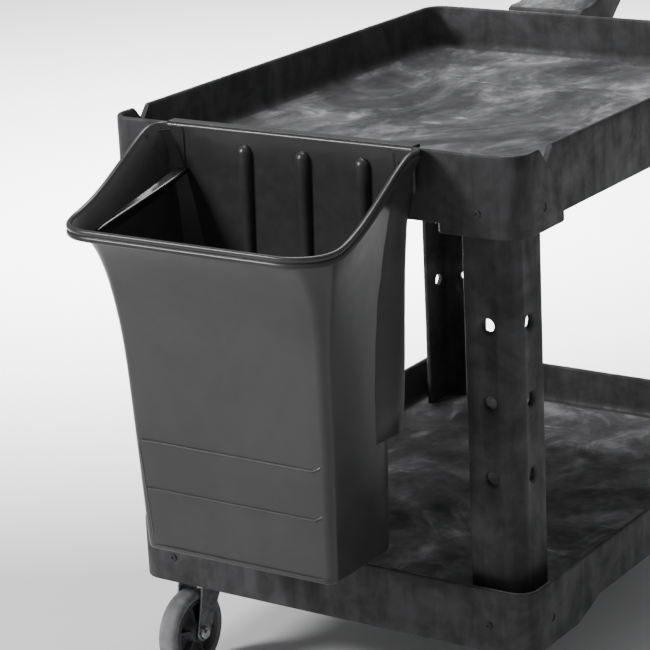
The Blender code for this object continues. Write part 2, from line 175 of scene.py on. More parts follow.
def bump(tree, shader, height, strength, distance):
    node = tree.nodes.new("ShaderNodeBump")
    node.inputs["Strength"].default_value = strength
    node.inputs["Distance"].default_value = distance
    tree.links.new(height, node.inputs["Height"])
    tree.links.new(node.outputs["Normal"], shader.inputs["Normal"])


def facing_up(tree):
    geometry = tree.nodes.new("ShaderNodeNewGeometry")
    split = tree.nodes.new("ShaderNodeSeparateXYZ")
    tree.links.new(geometry.outputs["Normal"], split.inputs["Vector"])
    return split.outputs["Z"]


def foam_plastic(name, dark, light, scuff_and_top_light):
    """Moulded structural foam: clouded grey swirls, a pebbled skin, and pale patches on level faces that are
    partly scuffs and dust and partly painted light from above.
    """
    material, tree, shader = new_material(name)
    place = position(tree)
    clouds = noise(tree, place, 11.0, 5.0, 0.62, 0.9)
    blots = noise(tree, place, 34.0, 4.0, 0.6, 0.5)
    runs = stretched_noise(tree, place, (46.0, 46.0, 7.0), 3.0, 0.55, 0.3)
    finer = maths(tree, "ADD", maths(tree, "MULTIPLY", blots, 0.25), maths(tree, "MULTIPLY", runs, 0.25))
    mottle = maths(tree, "ADD", maths(tree, "MULTIPLY", clouds, 0.5), finer)
    body = blend_colours(tree, spread(tree, mottle, 0.34, 0.70), dark, light)
    # Level faces are painted paler: partly scuffs and dust, partly painted light falling from above on the tops.
    level = spread(tree, facing_up(tree), 0.80, 0.99)
    patches = spread(tree, stretched_noise(tree, place, (4.2, 3.0, 4.0), 7.0, 0.66, 1.0), 0.42, 0.66)
    dust = spread(tree, stretched_noise(tree, place, (15.0, 9.0, 12.0), 5.0, 0.7, 0.8), 0.44, 0.70)
    drag = spread(tree, stretched_noise(tree, place, (14.0, 44.0, 20.0), 4.0, 0.6, 0.6), 0.60, 0.74)
    worn_and_lit = maths(tree, "MULTIPLY", patches, maths(tree, "ADD", maths(tree, "MULTIPLY", dust, 0.52), 0.20))
    scratched = maths(tree, "MULTIPLY", drag, patches)
    wear_and_top_light = maths(tree, "MULTIPLY", level, maths(tree, "MAXIMUM", worn_and_lit, scratched))
    # Blend towards the pale colour on level faces: scuffs plus painted top light.
    colour = blend_colours(tree, wear_and_top_light, body, scuff_and_top_light)
    tree.links.new(colour, shader.inputs["Base Color"])
    tree.links.new(spread(tree, mottle, 0.38, 0.64, 0.68, 0.46), shader.inputs["Roughness"])
    pebble = noise(tree, place, 620.0, 3.0, 0.55)
    waves = maths(tree, "ADD", maths(tree, "MULTIPLY", pebble, 0.30), maths(tree, "MULTIPLY", blots, 1.2))
    bump(tree, shader, waves, 0.45, 0.0011)
    shader.inputs["Specular IOR Level"].default_value = 0.28
    return material


def satin_plastic(name, dark, light, rough_low, rough_high, grain=0.25):
    """Injection-moulded plastic: a nearly even colour, faint flow clouds and a fine spark-etched skin."""
    material, tree, shader = new_material(name)
    place = position(tree)
    clouds = noise(tree, place, 6.0, 4.0, 0.55, 0.5)
    fine = noise(tree, place, 55.0, 3.0, 0.6)
    tone = maths(tree, "ADD", maths(tree, "MULTIPLY", clouds, 0.75), maths(tree, "MULTIPLY", fine, 0.25))
    colour = blend_colours(tree, spread(tree, tone, 0.35, 0.68), dark, light)
    tree.links.new(colour, shader.inputs["Base Color"])
    tree.links.new(spread(tree, fine, 0.3, 0.7, rough_low, rough_high), shader.inputs["Roughness"])
    bump(tree, shader, noise(tree, place, 1400.0, 2.0, 0.5), grain, 0.0004)
    shader.inputs["Specular IOR Level"].default_value = 0.32
    shader.inputs["Coat Weight"].default_value = 0.22
    shader.inputs["Coat Roughness"].default_value = 0.16
    return material


def plated_steel(name, dark, light, rough_low, rough_high):
    """Zinc-plated pressed steel, slightly clouded, with fine drawing marks."""
    material, tree, shader = new_material(name)
    place = position(tree)
    clouds = noise(tree, place, 70.0, 4.0, 0.6, 1.0)
    lines = stretched_noise(tree, place, (900.0, 900.0, 60.0), 2.0, 0.5)
    colour = blend_colours(tree, spread(tree, clouds, 0.35, 0.65), dark, light)
    tree.links.new(colour, shader.inputs["Base Color"])
    tree.links.new(spread(tree, clouds, 0.3, 0.7, rough_high, rough_low), shader.inputs["Roughness"])
    shader.inputs["Metallic"].default_value = 0.92
    bump(tree, shader, lines, 0.12, 0.0003)
    return material


def tread_rubber(name, dark, light):
    """Grey elastomer, clouded, with fine scuffs."""
    material, tree, shader = new_material(name)
    place = position(tree)
    clouds = noise(tree, place, 38.0, 5.0, 0.65, 0.6)
    specks = noise(tree, place, 420.0, 3.0, 0.6)
    tone = maths(tree, "ADD", maths(tree, "MULTIPLY", clouds, 0.7), maths(tree, "MULTIPLY", specks, 0.3))
    colour = blend_colours(tree, spread(tree, tone, 0.38, 0.66), dark, light)
    tree.links.new(colour, shader.inputs["Base Color"])
    tree.links.new(spread(tree, specks, 0.3, 0.7, 0.55, 0.75), shader.inputs["Roughness"])
    bump(tree, shader, specks, 0.3, 0.0004)
    return material


# The third colour is the pale tone on level faces: partly scuffs and dust, partly painted light from above.
CART = foam_plastic("cart_plastic", (0.019, 0.019, 0.020), (0.058, 0.058, 0.061), (0.44, 0.44, 0.45))
BIN = satin_plastic("bin_plastic", (0.028, 0.028, 0.0285), (0.040, 0.040, 0.0405), 0.30, 0.40)
GRIP = satin_plastic("grip_rubber", (0.014, 0.014, 0.014), (0.026, 0.026, 0.026), 0.60, 0.75, 0.5)
HUB = satin_plastic("hub_plastic", (0.050, 0.050, 0.054), (0.085, 0.085, 0.090), 0.42, 0.55)
TREAD = tread_rubber("tread_rubber", (0.135, 0.135, 0.142), (0.230, 0.230, 0.238))
FORK = plated_steel("fork_steel", (0.20, 0.20, 0.21), (0.36, 0.36, 0.37), 0.30, 0.46)
BOLT = plated_steel("bolt_steel", (0.50, 0.50, 0.51), (0.68, 0.68, 0.69), 0.20, 0.32)
SLOTS = {"cart_plastic": CART, "bin_plastic": BIN, "grip_rubber": GRIP, "hub_plastic": HUB,
         "tread_rubber": TREAD, "fork_steel": FORK, "bolt_steel": BOLT}


# ---------------------------------------------------------------- mesh helpers

def piece(name, bm, slot, body, replaced=(), bevel=0.0, segments=2):
    """Puts a finished mesh in the scene with its finish, its body and the CAD nodes that it stands for."""
    mesh = bpy.data.meshes.new(name)
    bm.to_mesh(mesh)
    bm.free()
    mesh.materials.append(SLOTS[slot])
    mesh.shade_smooth()
    if not bevel:
        mesh.set_sharp_from_angle(angle=SMOOTH_ANGLE)
    made = bpy.data.objects.new(name, mesh)
    bpy.context.scene.collection.objects.link(made)
    if bevel:
        edge = made.modifiers.new("edges", "BEVEL")
        edge.width = bevel
        edge.segments = segments
        edge.limit_method = "ANGLE"
        edge.angle_limit = math.radians(40)
        edge.harden_normals = True
    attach(made, body)
    if replaced:
        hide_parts(*replaced)
    return made


def joined(*parts):
    """One bmesh holding the shapes of several."""
    whole = bmesh.new()
    for part in parts:
        mesh = bpy.data.meshes.new("part")
        part.to_mesh(mesh)
        part.free()
        whole.from_mesh(mesh)
        bpy.data.meshes.remove(mesh)
    return whole


def cut(bm, *tools):
    """The shape with each tool cut out of it, by Boolean modifiers applied at once."""
    def as_object(shape):
        mesh = bpy.data.meshes.new("cut")
        shape.to_mesh(mesh)
        shape.free()
        made = bpy.data.objects.new("cut", mesh)
        bpy.context.scene.collection.objects.link(made)
        return made
    base = as_object(bm)
    blades = [as_object(tool) for tool in tools]
    for blade in blades:
        step = base.modifiers.new("cut", "BOOLEAN")
        step.operation = "DIFFERENCE"
        step.object = blade
    evaluated = base.evaluated_get(bpy.context.evaluated_depsgraph_get())
    result = bmesh.new()
    mesh = bpy.data.meshes.new_from_object(evaluated)
    result.from_mesh(mesh)
    bpy.data.meshes.remove(mesh)
    for used in [base] + blades:
        mesh = used.data
        bpy.data.objects.remove(used)
        bpy.data.meshes.remove(mesh)
    return result


def rounded(corners, radii, steps=8):
    """A closed outline whose corners are arcs of the given radii; a zero radius stays sharp."""
    points = []
    for i, radius in enumerate(radii):
        here = Vector(corners[i])
        if radius == 0:
            points.append(tuple(here))
            continue
        before = (Vector(corners[i - 1]) - here).normalized()
        after = (Vector(corners[(i + 1) % len(corners)]) - here).normalized()
        half_angle = before.angle(after) / 2
        centre = here + (before + after).normalized() * radius / math.sin(half_angle)
        reach = radius / math.tan(half_angle)
        start = here + before * reach - centre
        end = here + after * reach - centre
        turn = math.atan2(start.x * end.y - start.y * end.x, start.dot(end))
        for k in range(steps + 1):
            points.append(tuple(centre + Matrix.Rotation(turn * k / steps, 2) @ start))
    return points


def rectangle(x0, x1, y0, y1):
    return [(x0, y0), (x1, y0), (x1, y1), (x0, y1)]


def loft(rings, cap_first=True, cap_last=True):
    """A skin through rings of points that all have the same count, optionally capped at its ends."""
    bm = bmesh.new()
    layers = [[bm.verts.new(point) for point in ring] for ring in rings]
    for lower, upper in zip(layers, layers[1:]):
        for i in range(len(lower)):
            bm.faces.new((lower[i - 1], lower[i], upper[i], upper[i - 1]))
    if cap_first:
        bm.faces.new(reversed(layers[0]))
    if cap_last:
        bm.faces.new(layers[-1])
    bmesh.ops.recalc_face_normals(bm, faces=bm.faces)
    return bm


def prism(outline, low, high):
    return loft([[(x, y, z) for x, y in outline] for z in (low, high)])


def prism_x(outline, low, high):
    return loft([[(x, y, z) for y, z in outline] for x in (low, high)])


def box(low, high):
    return prism(rectangle(low[0], high[0], low[1], high[1]), low[2], high[2])


def lathe(profile, centre, axis="X", steps=64):
    """A closed profile of (radius, offset) turned about an axis through a centre."""
    bm = bmesh.new()
    layers = []
    for k in range(steps):
        angle = 2 * math.pi * k / steps
        ring = []
        for radius, offset in profile:
            a = radius * math.cos(angle)
            b = radius * math.sin(angle)
            point = {"X": (offset, a, b), "Y": (a, offset, b), "Z": (a, b, offset)}[axis]
            ring.append(bm.verts.new(Vector(point) + Vector(centre)))
        layers.append(ring)
    for k, ring in enumerate(layers):
        before = layers[k - 1]
        for i in range(len(profile)):
            quad = (before[i - 1], before[i], ring[i], ring[i - 1])
            bm.faces.new(quad)
    bmesh.ops.remove_doubles(bm, verts=bm.verts, dist=1e-7)
    bmesh.ops.recalc_face_normals(bm, faces=bm.faces)
    return bm


def solid_lathe(profile, centre, axis="X", steps=48):
    """A solid turned shape; the profile runs from the axis out and back to it."""
    return lathe([(1e-5, profile[0][1])] + list(profile) + [(1e-5, profile[-1][1])], centre, axis, steps)


def rod(centre, axis, radius, length, steps=32):
    half = length / 2
    return solid_lathe([(radius, -half), (radius, half)], centre, axis, steps)


def screw_head(centre, axis, outward, radius=0.0055):
    """A shallow pan head seated on a face, with a recess left as a dimple."""
    dome = [(radius, -0.001), (radius, 0.0008), (radius * 0.85, 0.0019), (radius * 0.45, 0.0025),
            (radius * 0.38, 0.0010)]
    profile = [(r, offset * outward) for r, offset in dome]
    return solid_lathe(profile, centre, axis, 20)


def tube(points, radius, sides=8):
    """A round bead swept along a list of points, with closed ends."""
    rings = []
    last_side = None
    for i, point in enumerate(points):
        here = Vector(point)
        ahead = Vector(points[min(i + 1, len(points) - 1)]) - Vector(points[max(i - 1, 0)])
        ahead.normalize()
        side = ahead.orthogonal().normalized()
        if last_side is not None:
            side = (last_side - ahead * last_side.dot(ahead)).normalized()
        last_side = side
        up = ahead.cross(side)
        size = radius * (0.35 if i in (0, len(points) - 1) else 1.0)
        ring = []
        for k in range(sides):
            angle = 2 * math.pi * k / sides
            ring.append(here + side * math.cos(angle) * size + up * math.sin(angle) * size)
        rings.append(ring)
    return loft(rings)


def eased(t):
    t = min(max(t, 0.0), 1.0)
    return t * t * (3 - 2 * t)


def in_corner(side, inward, dx, dy):
    """The point that lies dx and dy inside a corner of the shelf outline."""
    end = NEAR if inward > 0 else FAR
    return side * (HALF_WIDTH - dx), end + inward * dy


# ---------------------------------------------------------------- shelves

def tray_rings(apron_z, floor_z, rim_z, arch_rise):
    """Rings of a tray's section, from under the floor, round the apron and the rim, to inside the floor."""
    under_z = floor_z - 0.006
    section = [  # distance in from the outline, height
        (0.060, under_z), (0.0085, under_z), (0.0080, under_z - 0.002), (0.0075, apron_z + 0.001),
        (0.0065, apron_z), (0.0022, apron_z), (0.0006, apron_z + 0.0012), (0.0003, apron_z + 0.004),
        (0.0, rim_z - 0.020), (0.0, rim_z - 0.0042), (0.0006, rim_z - 0.0018), (0.0018, rim_z - 0.0004),
        (0.0034, rim_z), (0.0052, rim_z - 0.0003), (0.0067, rim_z - 0.0016), (0.0074, rim_z - 0.0040),
        (0.0098, floor_z + 0.016), (0.0106, floor_z + 0.0085), (0.0128, floor_z + 0.0040),
        (0.0170, floor_z + 0.0012), (0.0230, floor_z), (0.060, floor_z), (0.150, floor_z)]
    rings = []
    for inset, z in section:
        radius = max(CORNER_RADIUS - inset, 0.006)
        plan = rectangle(inset - HALF_WIDTH, HALF_WIDTH - inset, NEAR + inset, FAR - inset)
        ring = []
        for x, y in subdivided_ring(rounded(plan, [radius] * 4)):
            height = z
            if arch_rise and z < apron_z + 0.0045 and abs(x) > HALF_WIDTH - 0.015:
                from_end = min(y - NEAR, FAR - y)
                height = z + arch_rise * eased((from_end - ARCH_START + 0.01) / ARCH_RUN)
            ring.append((x, y, height))
        rings.append(ring)
    return rings


def subdivided_ring(plan, per_side=24):
    """Adds the same number of points to each straight side, so that all rings match."""
    arc = len(plan) // 4
    points = []
    for side in range(4):
        points += plan[side * arc:(side + 1) * arc]
        start = points[-1]
        end = plan[((side + 1) * arc) % len(plan)]
        for k in range(1, per_side):
            t = k / per_side
            points.append((start[0] + (end[0] - start[0]) * t, start[1] + (end[1] - start[1]) * t))
    return points


def collar(side, inward, low, high, inset):
    """The moulded block that holds a post in one corner."""
    size = COLLAR_SIZE
    square = ((inset, inset), (size, inset), (size, size), (inset, size))
    plan = [in_corner(side, inward, dx, dy) for dx, dy in square]
    outline = rounded(plan, [CORNER_RADIUS - inset, 0.012, 0.012, 0.012], 8)
    drawn_in = []
    middle = Vector(in_corner(side, inward, size / 2, size / 2))
    for x, y in outline:
        drawn_in.append(tuple(Vector((x, y)).lerp(middle, 0.022)))
    rings = [[(x, y, low) for x, y in drawn_in], [(x, y, low + 0.0016) for x, y in outline],
             [(x, y, high) for x, y in outline]]
    return loft(rings)


def under_ribs(floor_z, depth):
    """A grid of stiffening ribs under a tray floor."""
    parts = []
    top = floor_z - 0.0055
    thick = UNDER_RIB_HALF
    reach = HALF_WIDTH - WALL
    half_x = HALF_WIDTH - 0.132
    for i in range(5):
        y = NEAR + UNDER_RIB_FROM_END + (FAR - NEAR - 2 * UNDER_RIB_FROM_END) * i / 4
        parts.append(box((-reach, y - thick, top - depth), (reach, y + thick, top)))
    for i in range(3):
        x = half_x * (i - 1) * 0.85
        parts.append(box((x - thick, NEAR + WALL, top - depth), (x + thick, FAR - WALL, top)))
    return joined(*parts)


def end_plugs(height):
    """Screw plugs in the end faces of a shelf, one over each post."""
    parts = []
    for side, inward in CORNERS.values():
        x, y = in_corner(side, inward, PLUG_FROM_CORNER, 0.0)
        parts.append(screw_head((x, y, height), "Y", -inward))
    return joined(*parts)


def side_dimples(height):
    """Cutters for the shallow screw recesses in the side faces, which keep the cart's full width clear."""
    blades = []
    for side, inward in CORNERS.values():
        x, y = in_corner(side, inward, 0.0, PLUG_FROM_CORNER)
        blades.append(rod((x, y, height), "X", 0.0060, 0.0036, 24))
    return blades


def make_shelves():
    apron_z = COLLAR_Z + APRON_RISE
    tray = loft(tray_rings(apron_z, TOP_FLOOR_Z, RIM_Z, 0.0))
    notch_y = NEAR + NOTCH_FROM_END
    notch_top = RIM_Z + NOTCH_DEPTH
    notch_foot = RIM_Z - NOTCH_DEPTH + 0.0015
    wedge = [(notch_y - NOTCH_HALF * 2, notch_top), (notch_y - 0.0012, notch_foot),
             (notch_y + 0.0012, notch_foot), (notch_y + NOTCH_HALF * 2, notch_top)]
    upper_plug_z = COLLAR_Z + UPPER_PLUG_RISE
    lower_plug_z = LOWER_APRON_Z + LOWER_PLUG_RISE
    blades = side_dimples(upper_plug_z)
    for side in (-1, 1):
        middle = side * (HALF_WIDTH - WALL / 2)
        blades.append(prism_x(wedge, middle - 0.012, middle + 0.012))
    piece("top_tray", cut(tray, *blades), "cart_plastic", "cart", ["top_shelf"])
    arch_rise = LOWER_FLOOR_Z - LOWER_APRON_Z - 0.007
    lower = loft(tray_rings(LOWER_APRON_Z, LOWER_FLOOR_Z, LOWER_RIM_Z, arch_rise))
    piece("lower_tray", cut(lower, *side_dimples(lower_plug_z)), "cart_plastic", "cart", ["lower_shelf"])
    collars = [collar(side, inward, COLLAR_Z, TOP_FLOOR_Z - 0.002, 0.0012)
               for side, inward in CORNERS.values()]
    piece("post_collars", joined(*collars), "cart_plastic", "cart")
    pads = [collar(side, inward, LOWER_APRON_Z + 0.0002, LOWER_FLOOR_Z - 0.002, 0.0045)
            for side, inward in CORNERS.values()]
    piece("caster_pads", joined(*pads), "cart_plastic", "cart")
    piece("top_tray_ribs", under_ribs(TOP_FLOOR_Z, 0.016), "cart_plastic", "cart")
    piece("top_shelf_plugs", end_plugs(upper_plug_z), "cart_plastic", "cart")
    piece("lower_shelf_plugs", end_plugs(lower_plug_z), "cart_plastic", "cart")


# ---------------------------------------------------------------- posts

def make_post(name, side, inward):
    """An angle with a broad rounded corner and a column of dished holes through each leg."""
    outer = POST_INSET
    inner = POST_INSET + POST_WALL
    tip = POST_INSET + POST_LEG
    plan = [(outer, outer), (tip, outer), (tip, inner), (inner, inner), (inner, tip), (outer, tip)]
    radii = [POST_RADIUS, 0.0035, 0.0035, POST_RADIUS - POST_WALL, 0.0035, 0.0035]
    outline = rounded([in_corner(side, inward, dx, dy) for dx, dy in plan], radii, 8)
    angle = prism(outline, POST_LOW.z, POST_HIGH.z)
    across = POST_INSET + HOLE_FROM_EDGE
    sunk = [(0.0145, -0.0020), (0.0145, 0.0), (0.0120, 0.0008), (0.0100, 0.0026), (HOLE_RADIUS, 0.0034),
            (HOLE_RADIUS, 0.020)]
    blades = []
    for height in HOLE_HEIGHTS:
        x, y = in_corner(side, inward, across, POST_INSET)
        blades.append(solid_lathe([(r, offset * inward) for r, offset in sunk], (x, y, height), "Y", 28))
        x, y = in_corner(side, inward, POST_INSET, across)
        blades.append(solid_lathe([(r, -offset * side) for r, offset in sunk], (x, y, height), "X", 28))
    piece(name + "_angle", cut(angle, *blades), "cart_plastic", "cart", [name])


# ---------------------------------------------------------------- bin

# Share of the height, half width, front wall's distance from the cart, back and front corner radii
BIN_STATIONS = [
    (0.00, 0.1540, 0.174, 0.040, 0.013),
    (0.34, 0.1600, 0.180, 0.040, 0.013),
    (0.62, 0.1650, 0.188, 0.030, 0.014),
    (0.78, 0.1740, 0.198, 0.022, 0.019),
    (0.88, 0.1840, 0.212, 0.018, 0.029),
    (0.955, 0.1960, 0.234, 0.016, 0.046),
    (1.00, 0.2080, 0.258, 0.014, 0.060),
]
BIN_SHEET = 0.0032
BIN_BACK_Y = NEAR - 0.006
BIN_FLOOR_Z = BIN_LOW.z
BIN_REACH = NEAR - BIN_LOW.y
BACK_RIM_Z = 0.8475
FRONT_RIM_Z = 0.762
BAND_HIGH_Z = 0.4480        # the plain band across the front, and the foot of the line at its left edge
BAND_LOW_Z = 0.3780
EDGE_LOW_Z = 0.2985


def bin_station(share):
    """The bin's plan sizes at a share of its height, on a smooth curve through the stations."""
    count = len(BIN_STATIONS)
    for i in range(count - 1):
        if share <= BIN_STATIONS[i + 1][0] or i == count - 2:
            break
    a = BIN_STATIONS[max(i - 1, 0)]
    b = BIN_STATIONS[i]
    c = BIN_STATIONS[i + 1]
    d = BIN_STATIONS[min(i + 2, count - 1)]
    t = (share - b[0]) / (c[0] - b[0])
    sizes = []
    for k in range(1, 5):
        rise = c[0] - b[0]
        out_slope = (c[k] - a[k]) / (c[0] - a[0]) * rise
        in_slope = (d[k] - b[k]) / (d[0] - b[0]) * rise
        sizes.append((2 * t ** 3 - 3 * t ** 2 + 1) * b[k] + (t ** 3 - 2 * t ** 2 + t) * out_slope
                     + (3 * t ** 2 - 2 * t ** 3) * c[k] + (t ** 3 - t ** 2) * in_slope)
    return sizes


def rim_height(y):
    """The height of the rim at y: level along the back, then falling smoothly to the front."""
    t = min(max((NEAR - 0.035 - y) / (BIN_REACH - 0.060), 0), 1)
    return BACK_RIM_Z + (FRONT_RIM_Z - BACK_RIM_Z) * math.sin(t * math.pi / 2) ** 1.25


def bin_ring(share, grow=0.0, lift=0.0):
    """One ring of the bin's skin, grown outwards by grow and raised by lift."""
    half, front, back_radius, front_radius = bin_station(share)
    plan = rectangle(BIN_X - half - grow, BIN_X + half + grow, NEAR - front - grow, BIN_BACK_Y + grow)
    radii = [max(front_radius + grow, 0.003)] * 2 + [max(back_radius + grow, 0.003)] * 2
    ring = []
    for x, y in subdivided_ring(rounded(plan, radii, 10), 14):
        ring.append((x, y, BIN_FLOOR_Z + share * (rim_height(y) - BIN_FLOOR_Z) + lift))
    return ring


def bin_shell():
    """The whole tub as one closed skin: outside, rolled rim, inside and floor."""
    rings = [bin_ring(0.0, -0.030), bin_ring(0.0, -0.0060), bin_ring(0.0, -0.0022, 0.0008),
             bin_ring(0.0, -0.0004, 0.0030), bin_ring(0.0, 0.0, 0.0065)]
    levels = 34
    for k in range(1, levels):
        rings.append(bin_ring(0.012 + 0.970 * k / levels))
    for grow, lift in ((0.0012, -0.0156), (0.0040, -0.0160), (0.0052, -0.0148), (0.0052, -0.0112),
                       (0.0042, -0.0094), (0.0030, -0.0086), (0.0034, -0.0074), (0.0048, -0.0060),
                       (0.0052, -0.0042), (0.0048, -0.0022), (0.0036, -0.0006), (0.0016, 0.0),
                       (-0.0006, -0.0005), (-0.0022, -0.0018), (-0.0030, -0.0036)):
        rings.append(bin_ring(1.0, grow, lift))
    for k in range(levels, -1, -1):
        rings.append(bin_ring(0.012 + 0.976 * k / levels, -BIN_SHEET))
    rings.append(bin_ring(0.0, -BIN_SHEET - 0.0015, BIN_SHEET + 0.003))
    rings.append(bin_ring(0.0, -BIN_SHEET - 0.0060, BIN_SHEET))
    rings.append(bin_ring(0.0, -0.030, BIN_SHEET))
    return loft(rings)


def panel_lines():
    """Raised lines on the front: a left edge, a foot, and two lines that bound a plain band."""
    parts = []
    for z in (BAND_HIGH_Z, BAND_LOW_Z):
        half, front = bin_plan(z)
        y = NEAR - front - 0.0002
        left = BIN_X - half + 0.012
        right = BIN_X + half - 0.026
        points = [(left, y + 0.0030, z + 0.001)]
        points += [(left + 0.006 + (right - left - 0.006) * k / 12, y, z) for k in range(13)]
        points.append((right + 0.010, y + 0.0006, z + 0.005))
        points.append((right + 0.017, y + 0.0035, z + 0.011))
        parts.append(tube(points, 0.0019))
    edge = []
    for k in range(13):
        z = EDGE_LOW_Z + (BAND_HIGH_Z - EDGE_LOW_Z) * k / 12
        half, front = bin_plan(z)
        edge.append((BIN_X - half + 0.0105 + 0.006 * (1 - k / 12), NEAR - front + 0.0014, z))
    parts.append(tube(edge, 0.0020))
    foot_z = BIN_FLOOR_Z + 0.0070
    half, front = bin_plan(foot_z)
    left = BIN_X - half + 0.0165
    right = BIN_X + half - 0.016
    foot = [(left + (right - left) * k / 12, NEAR - front - 0.0003, foot_z) for k in range(13)]
    foot.append((right + 0.007, NEAR - front + 0.0016, foot_z + 0.0020))
    foot.append((right + 0.013, NEAR - front + 0.0070, foot_z + 0.0060))
    parts.append(tube(foot, 0.0021))
    return joined(*parts)


def bin_plan(z):
    """The bin's half width and its front wall's distance from the cart, at a height on the front wall."""
    half, front = bin_station((z - BIN_FLOOR_Z) / (FRONT_RIM_Z - BIN_FLOOR_Z))[:2]
    return half, front


def inner_ribs():
    """Half-round ribs on the inside of the back wall, with domed tops, dying into the wall below."""
    parts = []
    inside = BIN_BACK_Y - BIN_SHEET
    top = 0.827
    radius = 0.0115
    for x in (-0.089, 0.005, 0.099):
        section = [(0.460, 0.25), (0.600, 0.55), (0.720, 0.80), (0.780, 0.92)]
        for degrees in (0, 20, 40, 55, 68, 80):
            angle = math.radians(degrees)
            section.append((top - radius * (1 - math.sin(angle)), max(math.cos(angle), 0.12)))
        rings = []
        for z, size in section:
            ring = []
            for k in range(24):
                angle = 2 * math.pi * k / 24
                out = math.sin(angle) * (0.10 if math.sin(angle) > 0 else 0.95)
                ring.append((x + radius * size * math.cos(angle), inside + radius * size * out, z))
            rings.append(ring)
        parts.append(loft(rings))
    return joined(*parts)


def wall_face(y, z):
    """Half the bin's inside width at a point on a side wall, a hair within the wall."""
    share = min((z - BIN_FLOOR_Z) / (rim_height(y) - BIN_FLOOR_Z), 0.99)
    return bin_station(share)[0] - BIN_SHEET + 0.0008


def inner_ledge():
    """Each side wall's stepped ledge, narrowing forwards, and the upright channel over its back end."""
    parts = []
    inside = BIN_BACK_Y - BIN_SHEET
    ledge_z = 0.785
    ledge_depth = 0.016
    upright_rise = 0.058
    for side in (-1, 1):
        rings = []
        edge = []
        for k in range(17):
            t = k / 16
            y = inside - 0.001 - 0.178 * t
            z = ledge_z - 0.046 * t
            wall = wall_face(y, z)
            lower_wall = wall_face(y, z - ledge_depth)
            inner = wall - 0.014 * (1 - t) - 0.0045
            section = [(wall, z), (wall, z + 0.0025), (wall - 0.0025, z + 0.0035),
                       (inner + 0.0045, z + 0.0010), (inner + 0.0020, z + 0.0018), (inner, z - 0.0005),
                       (inner + 0.0006, z - 0.0050), (lower_wall, z - ledge_depth)]
            rings.append([(BIN_X + side * x, y, height) for x, height in section])
            edge.append((BIN_X + side * (inner + 0.0006), y, z + 0.0006))
        parts.append(loft(rings))
        parts.append(tube(edge, 0.0023))
        for reach in (0.1990, 0.1700):
            x = BIN_X + side * reach
            upright = [(x, inside + 0.0002, ledge_z + upright_rise * k / 8) for k in range(9)]
            parts.append(tube(upright, 0.0024))
        low, high = sorted((BIN_X + side * 0.1695, BIN_X + side * 0.1995))
        parts.append(box((low, inside - 0.0012, ledge_z), (high, inside + 0.001, ledge_z + upright_rise)))
    return joined(*parts)


def back_fins():
    """The back wall's side flanges: they grow out of the side walls and end in a step part way down."""
    parts = []
    reaches = [(0.449, 0.1600), (0.453, 0.1660), (0.500, 0.1700), (0.560, 0.1735), (0.620, 0.1760),
               (0.680, 0.1790), (0.740, 0.1840), (0.790, 0.1925), (0.838, 0.2060)]
    for side in (-1, 1):
        rings = []
        for z, reach in reaches:
            share = (z - BIN_FLOOR_Z) / (BACK_RIM_Z - BIN_FLOOR_Z)
            half, _, back_radius, _ = bin_station(share)
            root = half - 0.0010
            forward = back_radius + 0.030
            section = [(root, -forward), (root + (reach - root) * 0.30, -forward * 0.62),
                       (root + (reach - root) * 0.70, -forward * 0.25), (reach, -0.0052), (reach, -0.0004),
                       (reach - 0.0006, 0.0), (half - back_radius, 0.0), (half - back_radius, -0.0020),
                       (half - 0.0040, -back_radius * 0.9)]
            rings.append([(BIN_X + side * x, BIN_BACK_Y + y, z) for x, y in section])
        parts.append(loft(rings))
    return joined(*parts)


def rim_hook():
    """The flange that folds over the cart's rim and down inside it."""
    over = RIM_Z + 0.0003
    inner = NEAR + WALL + 0.0012
    sheet = 0.0033
    root = BIN_BACK_Y - 0.001
    tip_z = over - 0.022
    corners = [(root, over), (inner, over), (inner, tip_z), (inner + sheet, tip_z),
               (inner + sheet, over + sheet), (root, over + sheet)]
    section = rounded(corners, [0, 0.0005, 0.001, 0.001, 0.003, 0], 4)
    half = BIN_HIGH.x - BIN_X - 0.016
    return prism_x(section, BIN_X - half, BIN_X + half)


def make_bin():
    piece("bin_tub", bin_shell(), "bin_plastic", "bin", ["bin"])
    piece("bin_panel_lines", panel_lines(), "bin_plastic", "bin")
    piece("bin_inner_ribs", inner_ribs(), "bin_plastic", "bin")
    piece("bin_inner_ledge", inner_ledge(), "bin_plastic", "bin")
    piece("bin_back_fins", back_fins(), "bin_plastic", "bin")
    piece("bin_rim_hook", rim_hook(), "bin_plastic", "bin", bevel=0.0006)


# ---------------------------------------------------------------- handle

